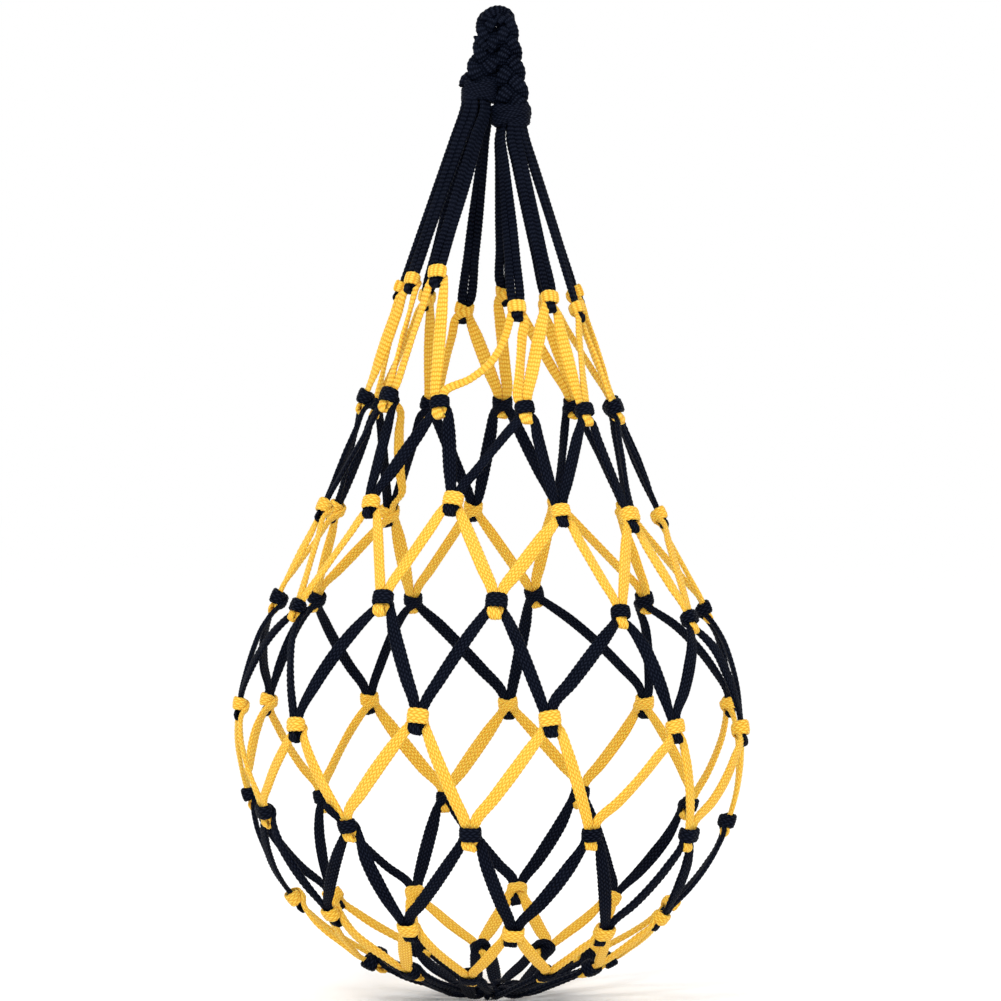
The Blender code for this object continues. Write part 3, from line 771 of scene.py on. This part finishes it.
def cord_material(name, stagger, groove_shade, plain, highlight_and_wear, roughness, gloss, sheen, glow):
    """Braided polyester: painted shade in its grooves, a painted highlight along the yarn on top of
    its stitches, and not quite even.
    """
    nodes = Nodes(name)
    height, yarn = braid_pattern(nodes, stagger)
    blotch = nodes.ramp(nodes.noise(55.0, 3.0), 0.3, 0.7)
    fuzz = nodes.noise(1600.0, 2.0)
    # Painted shade: the colour goes from the plain colour to the darker groove colour down into the
    # grooves between stitches.
    colour = nodes.mix(nodes.ramp(height, 0.0, 0.75), groove_shade, plain)
    # Painted highlight: the tops of the stitches are lightened along their yarn towards the bright
    # colour.
    top = nodes.math("MULTIPLY", nodes.ramp(height, 0.55, 1.0), yarn)
    colour = nodes.mix(nodes.math("MULTIPLY", top, 0.6), colour, highlight_and_wear)
    # Random wear, not light: blotches lightened a little towards the same bright colour that paints
    # the highlight.
    wear = nodes.math("MULTIPLY", blotch, 0.12)
    colour = nodes.mix(wear, colour, highlight_and_wear)
    nodes.link(colour, nodes.shader.inputs["Base Color"])
    rough = nodes.math("MULTIPLY_ADD", fuzz, 0.16, roughness - 0.08)
    rough = nodes.math("SUBTRACT", rough, nodes.math("MULTIPLY", top, 0.10))
    nodes.link(rough, nodes.shader.inputs["Roughness"])
    shine = nodes.math("MULTIPLY_ADD", nodes.ramp(height, 0.35, 1.0), gloss, gloss * 0.25)
    nodes.link(shine, nodes.shader.inputs["Specular IOR Level"])
    settings = {"IOR": 1.4, "Sheen Weight": sheen, "Sheen Roughness": 0.45}
    if glow:
        settings["Subsurface Weight"] = glow
        settings["Subsurface Radius"] = (1.0, 0.45, 0.08)
        settings["Subsurface Scale"] = 0.0012
    for socket, value in settings.items():
        nodes.shader.inputs[socket].default_value = value
    detail = nodes.math("MULTIPLY_ADD", yarn, 0.25, height)
    detail = nodes.math("MULTIPLY_ADD", fuzz, 0.25, detail)
    bump = nodes.tree.nodes.new("ShaderNodeBump")
    bump.inputs["Strength"].default_value = 0.55
    bump.inputs["Distance"].default_value = 0.00022
    nodes.tree.links.new(detail, bump.inputs["Height"])
    nodes.tree.links.new(bump.outputs["Normal"], nodes.shader.inputs["Normal"])
    return nodes.material


def make_materials():
    """Each colour twice: with the braid of the net, and with the ribs of the cords above it."""
    # Colours: painted shade in the grooves, the cord's own colour between, and a painted highlight
    # on top, towards which random wear also lightens; then roughness, gloss, sheen and glow.
    looks = {
        "black": ((0.0004, 0.0006, 0.0018, 1), (0.0018, 0.0030, 0.0088, 1),
                  (0.016, 0.022, 0.040, 1), 0.50, 0.065, 0.0, 0.0),
        "yellow": ((0.66, 0.27, 0.014, 1), (0.85, 0.55, 0.054, 1),
                   (0.93, 0.69, 0.16, 1), 0.60, 0.30, 0.08, 0.12),
    }
    materials = {}
    for colour, look in looks.items():
        materials[colour] = cord_material(colour + "_braid", NET_STAGGER, *look)
        materials[colour + "_ribbed"] = cord_material(colour + "_ribbed_braid", RIB_STAGGER, *look)
    return materials


# ======== the net

def course_path(upper, lower, foot_run, place, seed):
    """A cord that runs once round the net, through the knots above and below by turns."""
    rng = np.random.default_rng(seed)
    path = Path()
    count = len(upper)
    for index in range(count):
        top, bottom = upper[index], lower[index]
        following = upper[(index + 1) % count]
        add_knot_run(path, top, WRAP)
        foot_start = bottom.at(*foot_run[0][:3])
        add_leg(path, path.points[-1], foot_start, place, rng, unit(top.w + bottom.w))
        add_knot_run(path, bottom, foot_run)
        wrap_start = following.at(*WRAP[0][:3])
        add_leg(path, path.points[-1], wrap_start, place, rng, unit(bottom.w + following.w))
    return path


def make_knots(rows, mouth):
    """The knots of the net, row by row, and the places of the loops round the draw ring."""
    middles = [middle_of(row) for row in rows]
    mouth_middle = np.mean([(k.centre[2], np.hypot(k.centre[0], k.centre[1])) for k in mouth], 0)
    middles.insert(0, mouth_middle)
    knots = []
    for index, row in enumerate(rows[:-1]):
        lean = lean_between(middles[index], middles[index + 2])
        knots.append(row_of_knots(row, lean, ROW_SEED + index))
    knots.append([Knot(azimuth, height, radius, 90.0) for azimuth, height, radius in rows[-1]])
    return knots


def ball_place(rows):
    """The ball's centre, and how far from it the middle of a cord on it lies."""
    centre = ball_centre()
    height, radius = middle_of(rows[3])
    return centre, math.hypot(height - centre[2], radius)


def build_net(knots, centre, ball_radius, materials):
    """The seven courses below the mouth, each one closed cord."""
    nodes = net_courses()
    for index, node in enumerate(nodes):
        colour = "black" if "black" in node else "yellow"
        roll = FREE_LEG_ROLL if index == 0 else LEG_ROLL
        foot = BASE_LOOP if index == len(nodes) - 1 else FOOT
        place = (centre, ball_radius, roll, LEG_HALF_WIDTH)
        path = course_path(knots[index], knots[index + 1], foot, place, COURSE_SEED + index)
        strips = [sweep(path, True)]
        if node == MELTED_NODE:
            strips.append(sweep(melted_tail(knots[index][MELTED_KNOT])))
        ride_cord(node, strips, materials, colour, "net")


def melted_tail(knot):
    """The cut and melted end of a cord, which stands up beside its knot."""
    path = Path()
    # Each line is u, v, w, half width, half thickness and relief.
    for u, v, w, half_width, half_thickness, relief in (
        (0.5, 1.0, -1.2, 1.6, 0.9, 0.8),
        (-2.8, 4.2, 0.6, 1.8, 0.9, 0.8),
        (-5.0, 8.0, 1.8, 1.9, 1.0, 0.8),
        (-6.0, 10.4, 2.2, 1.9, 1.2, 0.3),
        (-6.4, 11.6, 2.3, 1.2, 0.9, 0.0),
        (-6.5, 12.0, 2.3, 0.4, 0.3, 0.0),
    ):
        path.add(knot.at(u, v, w), ("plane", knot.w), half_width, half_thickness, relief)
    return path


def build_mouth(mouth, knots_b, centre, ball_radius, materials):
    """The yellow course at the mouth: one cord, cut where the mouth's two halves part."""
    rng = np.random.default_rng(MOUTH_CORD_SEED)
    place = (centre, ball_radius, FREE_LEG_ROLL, LEG_HALF_WIDTH)
    slack_place = (centre, ball_radius, FREE_LEG_ROLL, SLACK_HALF_WIDTH)
    path = Path()
    add_knot_run(path, knots_b[RIGHT_SPLIT], FOOT[FOOT_MIDDLE:])
    parting = None
    for step in range(MESHES):
        index = (RIGHT_SPLIT + 1 + step) % MESHES
        before = knots_b[index - 1]
        top, bottom = mouth[index], knots_b[index]
        wrap_start = top.at(*WRAP[0][:3])
        face = unit(before.w + top.w)
        slack = index == SLACK_LEG + 1
        bow = before.u * SLACK_BOW - before.v * SLACK_SAG if slack else None
        add_leg(path, path.points[-1], wrap_start, slack_place if slack else place, rng, face, bow)
        add_knot_run(path, top, WRAP)
        foot_start = bottom.at(*FOOT[0][:3])
        add_leg(path, path.points[-1], foot_start, place, rng, unit(top.w + bottom.w))
        if index == LEFT_SPLIT:
            parting = len(path.points) + FOOT_MIDDLE
        add_knot_run(path, bottom, FOOT[:FOOT_MIDDLE] if index == RIGHT_SPLIT else FOOT)
    strip = sweep(path, True, RIB_STITCH, RIB_STAGGER)
    cut = strip.marks[parting]
    halves = {"left": strip.cut(0, cut), "right": strip.cut(cut, len(strip.rows))}
    for side, half in halves.items():
        cord = make_cord(f"neck_course_{side}_cord", [half], materials["yellow_ribbed"])
        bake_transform(cord)
        stand_for(cord, "yellow", f"neck_course_{side}_yellow")


def build_carried_cord(knots_b, knots_c, materials):
    """The yellow cord's end, carried down inside the back from one yellow course to the next."""
    points = node_points("carried_cord_yellow")
    top = points[points[:, 2] > points[:, 2].max() - CARRIED_END].mean(0)
    bottom = points[points[:, 2] < points[:, 2].min() + CARRIED_END].mean(0)
    middle = points.mean(0)
    face = unit(np.array([middle[0], middle[1], 0.0]))
    above = min(knots_b, key=lambda knot: np.linalg.norm(knot.centre - top))
    below = min(knots_c, key=lambda knot: np.linalg.norm(knot.centre - bottom))
    edge = ("plane", face)
    # It starts behind the knot above and is bent inwards and up on the way out of it.
    bend = above.centre * 0.45 + top * 0.55 - face * 2.0 + np.array([0, 0, 1.5])
    path = Path()
    path.add(above.at(0, -1.5, -2.6), edge, 1.5)
    path.add(bend, edge, 1.7)
    for share, half_width in CARRIED_WIDTHS:
        bow = face * math.sin(math.pi * share) * CARRIED_BOW
        path.add(top * (1 - share) + bottom * share + bow, edge, half_width)
    path.add(below.at(1.0, 4.0, -3.2), edge, 1.6)
    path.add(below.at(0, -1.5, -2.4), edge, 1.5)
    cord = make_cord("carried_cord", [sweep(path)], materials["yellow"])
    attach(cord, "net")
    stand_for(cord, "yellow", "carried_cord_yellow")


# ======== the straps

def strap_top(node):
    """The middle of a strap's gathered end, and the direction from its left leg to its right."""
    points = node_points(node)
    top = points[points[:, 2] > points[:, 2].max() - STRAP_TOP_REACH]
    middle = top.mean(0)
    axis = np.linalg.svd(top - middle)[2][0]
    return middle, axis


def strap_path(knot, node, handle_knot, rng):
    """Two legs side by side from the handle to the mouth knot, joined by the loop through it."""
    middle, axis = strap_top(node)
    axis = axis if axis @ knot.u > 0 else -axis
    away = middle - handle_knot
    away = unit(np.array([away[0], away[1], 0.0]))
    tuck = middle + (handle_knot - middle) * STRAP_DRAW
    tuck[2] = middle[2] + STRAP_TUCK
    foot_middle = knot.at(0, FOOT[0][1], 0)
    legs = []
    for sign in (-1, 1):
        gap = rng.uniform(0.0, STRAP_GAP)
        roll = math.radians(rng.uniform(-STRAP_ROLL, STRAP_ROLL))
        leg = []
        for share in STRAP_SHARES:
            half_width = STRAP_HALF_WIDTH + (STRAP_END_HALF_WIDTH - STRAP_HALF_WIDTH) * share
            sideways = unit(knot.u * (1 - share) + axis * share)
            face = unit(knot.w * (1 - share) + away * share)
            spread = half_width * STRAP_SPREAD + gap * math.sin(math.pi * share)
            point = foot_middle * (1 - share) + middle * share + sideways * spread * sign
            leg.append((point, ("roll", face, roll * math.sin(math.pi * share)), half_width))
        leg.append((tuck + axis * sign, ("plane", away), STRAP_END_HALF_WIDTH))
        legs.append(leg)
    path = Path()
    for point, edge, half_width in legs[0][::-1]:
        path.add(point, edge, half_width)
    add_knot_run(path, knot, FOOT)
    for point, edge, half_width in legs[1]:
        path.add(point, edge, half_width)
    return path


def box_middle(node):
    """The middle of a CAD node's box, in millimetres."""
    low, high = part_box(node)
    return np.array((low + high) / 2) / MM


def build_straps(mouth, materials):
    """The doubled black straps between the mouth and the handle's two knots."""
    rng = np.random.default_rng(STRAP_SEED)
    for knot, node in zip(mouth, MOUTH_STRAPS):
        side = node.split("_")[1]
        path = strap_path(knot, node, box_middle("handle_knot_" + side), rng)
        strip = sweep(path, False, RIB_STITCH, RIB_STAGGER)
        ride_cord(node, [strip], materials, "black_ribbed", "neck_" + side)


# ======== the handle

def tie_path(centre, reach, turns, height, tilt, start):
    """Turns of cord round the bundle, whose two ends are tucked into its middle."""
    path = Path()
    slope = math.tan(math.radians(tilt))
    count = round(turns * TIE_STEPS)
    for step in range(count + 1):
        share = step / count
        angle = math.tau * turns * share + start
        ease = min(1.0, TIE_EASE * share, TIE_EASE * (1 - share))
        grow = TIE_START + TIE_GROW * ease
        side = math.cos(angle) * reach[0] * grow
        depth = math.sin(angle) * reach[1] * grow
        rise = height * (share - 0.5) + side * slope
        point = centre + np.array([side, depth, rise])
        path.add(point, UP, TIE_HALF_WIDTH, STRAND_HALF_THICKNESS)
    return path


def build_handle_knots(materials):
    """A lump of cord on each side, where the straps of that side are tied to the plait."""
    # Body, reach to the side and in depth, height, tilt in degrees, and shift from the CAD knot.
    shapes = {
        "left": ("handle_tie", (7.0, 5.6), 6.4, 9.0, (1.5, 0.0, -0.4)),
        "right": ("neck_right", (7.8, 5.8), 9.8, -8.0, (-1.1, 0.0, 1.0)),
    }
    for side, (body, reach, height, tilt, shift) in shapes.items():
        centre = box_middle("handle_knot_" + side) + shift
        over = (reach[0] * OVER_REACH[0], reach[1] * OVER_REACH[1])
        over_height = height * OVER_HEIGHT
        strips = [
            sweep(tie_path(centre, reach, TIE_TURNS, height, tilt, TIE_ANGLE)),
            sweep(tie_path(centre, over, OVER_TURNS, over_height, OVER_TILT * tilt, OVER_ANGLE)),
        ]
        ride_cord("handle_knot_" + side, strips, materials, "black", body)


def fold_place():
    """The top of the handle: the middle of the fold and the height of its highest point."""
    left_low, left_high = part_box("handle_fold_left")
    right_low, right_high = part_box("handle_fold_right")
    return (left_high.x + right_low.x) / 2 / MM, left_high.z / MM


def plait_line():
    """The middle of the plait: up from the left knot, over the fold and down to the right one.

    Gives the points, each one's share of the way from the fold to its knot, and the numbers of
    the points at the fold's two ends.
    """
    ends = {side: box_middle("handle_knot_" + side) for side in ("left", "right")}
    middle_x, top = fold_place()
    reach = PLAIT_SWAY[0] + PLAIT_HALF_WIDTH[0] + RELIEF / 2
    centre = np.array([middle_x, 0.0, top + FOLD_PROUD - FOLD_HEIGHT - reach])
    points, down = [], []
    bend = np.array([PLAIT_BEND_LEFT[0], 0.0, PLAIT_BEND_LEFT[1]])
    fold_end = centre - (FOLD_HALF_WIDTH, 0, 0)
    for share in np.linspace(0, 1, PLAIT_STEPS_LEFT)[:-1]:
        points.append(quadratic(ends["left"], bend, fold_end, share))
        down.append(1 - share)
    left_count = len(points)
    for turn in np.linspace(math.pi, 0, FOLD_STEPS):
        across, rise = math.cos(turn), math.sin(turn)
        across = math.copysign(abs(across) ** FOLD_POWER, across) * FOLD_HALF_WIDTH
        points.append(centre + (across, 0, max(rise, 0.0) ** FOLD_POWER * FOLD_HEIGHT))
        down.append(0.0)
    right_count = len(points) - 1
    bend = np.array([PLAIT_BEND_RIGHT[0], 0.0, PLAIT_BEND_RIGHT[1]])
    fold_end = centre + (FOLD_HALF_WIDTH, 0, 0)
    for share in np.linspace(0, 1, PLAIT_STEPS_RIGHT)[1:]:
        points.append(quadratic(fold_end, bend, ends["right"], share))
        down.append(share)
    return np.array(points), down, left_count, right_count


def quadratic(start, middle, end, share):
    """A curve from start to end that passes through middle half way."""
    control = 2 * middle - (start + end) / 2
    return (1 - share) ** 2 * start + 2 * share * (1 - share) * control + share ** 2 * end


def plait_strand(line, down, phase):
    """One of the plait's three strands, which weaves over and under the other two."""
    path = Path()
    run = np.concatenate([[0], np.cumsum(np.linalg.norm(np.diff(line, axis=0), axis=1))])
    tangents = unit(np.gradient(line, axis=0))
    for point, distance, tangent, share in zip(line, run, tangents, down):
        turn = math.tau * (distance / PLAIT_PITCH + phase)
        side = np.cross(FRONT, tangent)
        sway = PLAIT_SWAY[0] + (PLAIT_SWAY[1] - PLAIT_SWAY[0]) * share
        half_width = PLAIT_HALF_WIDTH[0] + (PLAIT_HALF_WIDTH[1] - PLAIT_HALF_WIDTH[0]) * share
        swing = side * sway * math.sin(turn) + FRONT * PLAIT_DEPTH * math.sin(2 * turn)
        path.add(point + swing, ("plane", FRONT), half_width, STRAND_HALF_THICKNESS)
    return path


def plait_tail(line):
    """The short cut end that stands out from the left half of the handle."""
    root = line[TAIL_ROOT]
    edge = ("plane", FRONT)
    path = Path()
    for x, y, z, half_width, relief in (
        (0.0, -3.0, -3.0, 1.5, 0.8),
        (-2.6, -3.2, 0.0, 1.5, 0.8),
        (-5.0, -2.6, 2.0, 1.3, 0.5),
        (-5.8, -2.4, 2.4, 0.5, 0.0),
    ):
        path.add(root + (x, y, z), edge, half_width, TAIL_HALF_THICKNESS, relief)
    return path


def build_handle(materials):
    """The plait, each strand cut where the fold begins, and the fold that joins its two sides."""
    line, down, left_count, right_count = plait_line()
    folds = []
    for strand in range(3):
        path = plait_strand(line, down, strand / 3 + PLAIT_PHASE)
        strip = sweep(path, False, RIB_STITCH, RIB_STAGGER)
        first, last = strip.marks[left_count], strip.marks[right_count]
        parts = {"left": strip.cut(0, first), "right": strip.cut(last, len(strip.rows))}
        folds.append(strip.cut(first, last))
        for side, part in parts.items():
            node = f"plait_{side}_strand_{strand + 1}"
            strips = [part]
            if side == "left" and strand == 0:
                strips.append(sweep(plait_tail(line), False, RIB_STITCH, RIB_STAGGER))
            ride_cord(node, strips, materials, "black_ribbed", "handle_" + side)
    fold = make_cord("handle_fold_cord", folds, materials["black_ribbed"])
    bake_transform(fold)
    stand_for(fold, "black", "handle_fold_left", "handle_fold_right")


# ======== the base

def ring_path(centre, radius):
    path = Path()
    for step in range(RING_STEPS):
        turn = math.tau * step / RING_STEPS
        out = np.array([math.cos(turn), math.sin(turn), 0.0])
        path.add(centre + out * radius, ("plane", out), *RING_SECTION)
    return path


def closing_path(centre, reach, rise):
    """An overhand knot drawn tight, lying flat."""
    path = Path()
    for step in range(CLOSING_STEPS):
        turn = math.tau * step / CLOSING_STEPS
        x = (math.sin(turn) + 2 * math.sin(2 * turn)) / 3
        y = (math.cos(turn) - 2 * math.cos(2 * turn)) / 3
        point = centre + np.array([x * reach, y * reach, -math.sin(3 * turn) * rise])
        path.add(point, ("plane", UP), *CLOSING_SECTION)
    return path


def build_base(rows, materials):
    """The draw ring that the last loops hang on, and the knot that closes it."""
    _, height, radius = rows[-1][0]
    ring = sweep(ring_path(np.array([0.0, 0.0, height]), radius), True)
    ride_cord("base_draw_ring", [ring], materials, "black", "net")
    low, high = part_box("base_closing_knot")
    reach = (high.x - low.x) / 2 / MM - CLOSING_MARGIN
    rise = (high.z - low.z) / 2 / MM - CLOSING_MARGIN
    knot = sweep(closing_path(box_middle("base_closing_knot"), reach, rise), True)
    ride_cord("base_closing_knot", [knot], materials, "black", "net")


# ======== stage, light and camera

def make_stage():
    bpy.ops.mesh.primitive_plane_add(size=FLOOR_SIZE, location=(0, 0, 0))
    floor = bpy.context.object
    floor.name = "floor"
    material = bpy.data.materials.new("pale_floor")
    material.use_nodes = True
    shader = material.node_tree.nodes["Principled BSDF"]
    shader.inputs["Base Color"].default_value = (1, 1, 1, 1)
    shader.inputs["Roughness"].default_value = 1.0
    shader.inputs["Specular IOR Level"].default_value = 0.0
    floor.data.materials.append(material)


def aim_rotation(direction):
    """The rotation with which a light or a camera looks along a direction."""
    return Vector(direction).to_track_quat("-Z", "Y").to_euler()


def add_light(name, location, size, power):
    """A square light that is aimed at the middle of the bag."""
    data = bpy.data.lights.new(name, "AREA")
    data.size = size
    data.energy = power
    light = bpy.data.objects.new(name, data)
    light.location = location
    light.rotation_euler = aim_rotation(np.array(LIGHT_TARGET) - np.array(location))
    bpy.context.scene.collection.objects.link(light)


def make_light():
    """An even white surround and two soft lights."""
    world = bpy.context.scene.world or bpy.data.worlds.new("studio")
    bpy.context.scene.world = world
    world.use_nodes = True
    background = world.node_tree.nodes["Background"]
    background.inputs["Color"].default_value = (1, 1, 1, 1)
    background.inputs["Strength"].default_value = 1.0
    add_light("key", *KEY_LIGHT)
    add_light("fill", *FILL_LIGHT)


def make_camera():
    """A camera in front of the bag, which it frames as a picture of it from there would."""
    low, high = cad_box
    data = bpy.data.cameras.new("camera")
    data.sensor_width = SENSOR_WIDTH
    camera = bpy.data.objects.new("camera", data)
    middle = ((low.x + high.x) / 2 + CAMERA_SIDE, 0, (low.z + high.z) / 2 + CAMERA_LIFT)
    camera.location = (middle[0], -CAMERA_DISTANCE, CAMERA_HEIGHT)
    data.lens = SENSOR_WIDTH / 2 / math.tan(math.atan(VIEW_WIDTH / 2 / CAMERA_DISTANCE))
    camera.rotation_euler = aim_rotation(np.array(middle) - np.array(camera.location))
    bpy.context.scene.collection.objects.link(camera)
    bpy.context.scene.camera = camera


materials = make_materials()
mouth = mouth_knots(MOUTH_KNOT_SEED)
rows = measure_rows()
knots = make_knots(rows, mouth)
centre, ball_radius = ball_place(rows)
build_net(knots, centre, ball_radius, materials)
build_mouth(mouth, knots[0], centre, ball_radius, materials)
build_carried_cord(knots[0], knots[1], materials)
build_straps(mouth, materials)
build_handle_knots(materials)
build_handle(materials)
build_base(rows, materials)
make_stage()
make_light()
make_camera()
bpy.context.scene.view_settings.view_transform = "Standard"
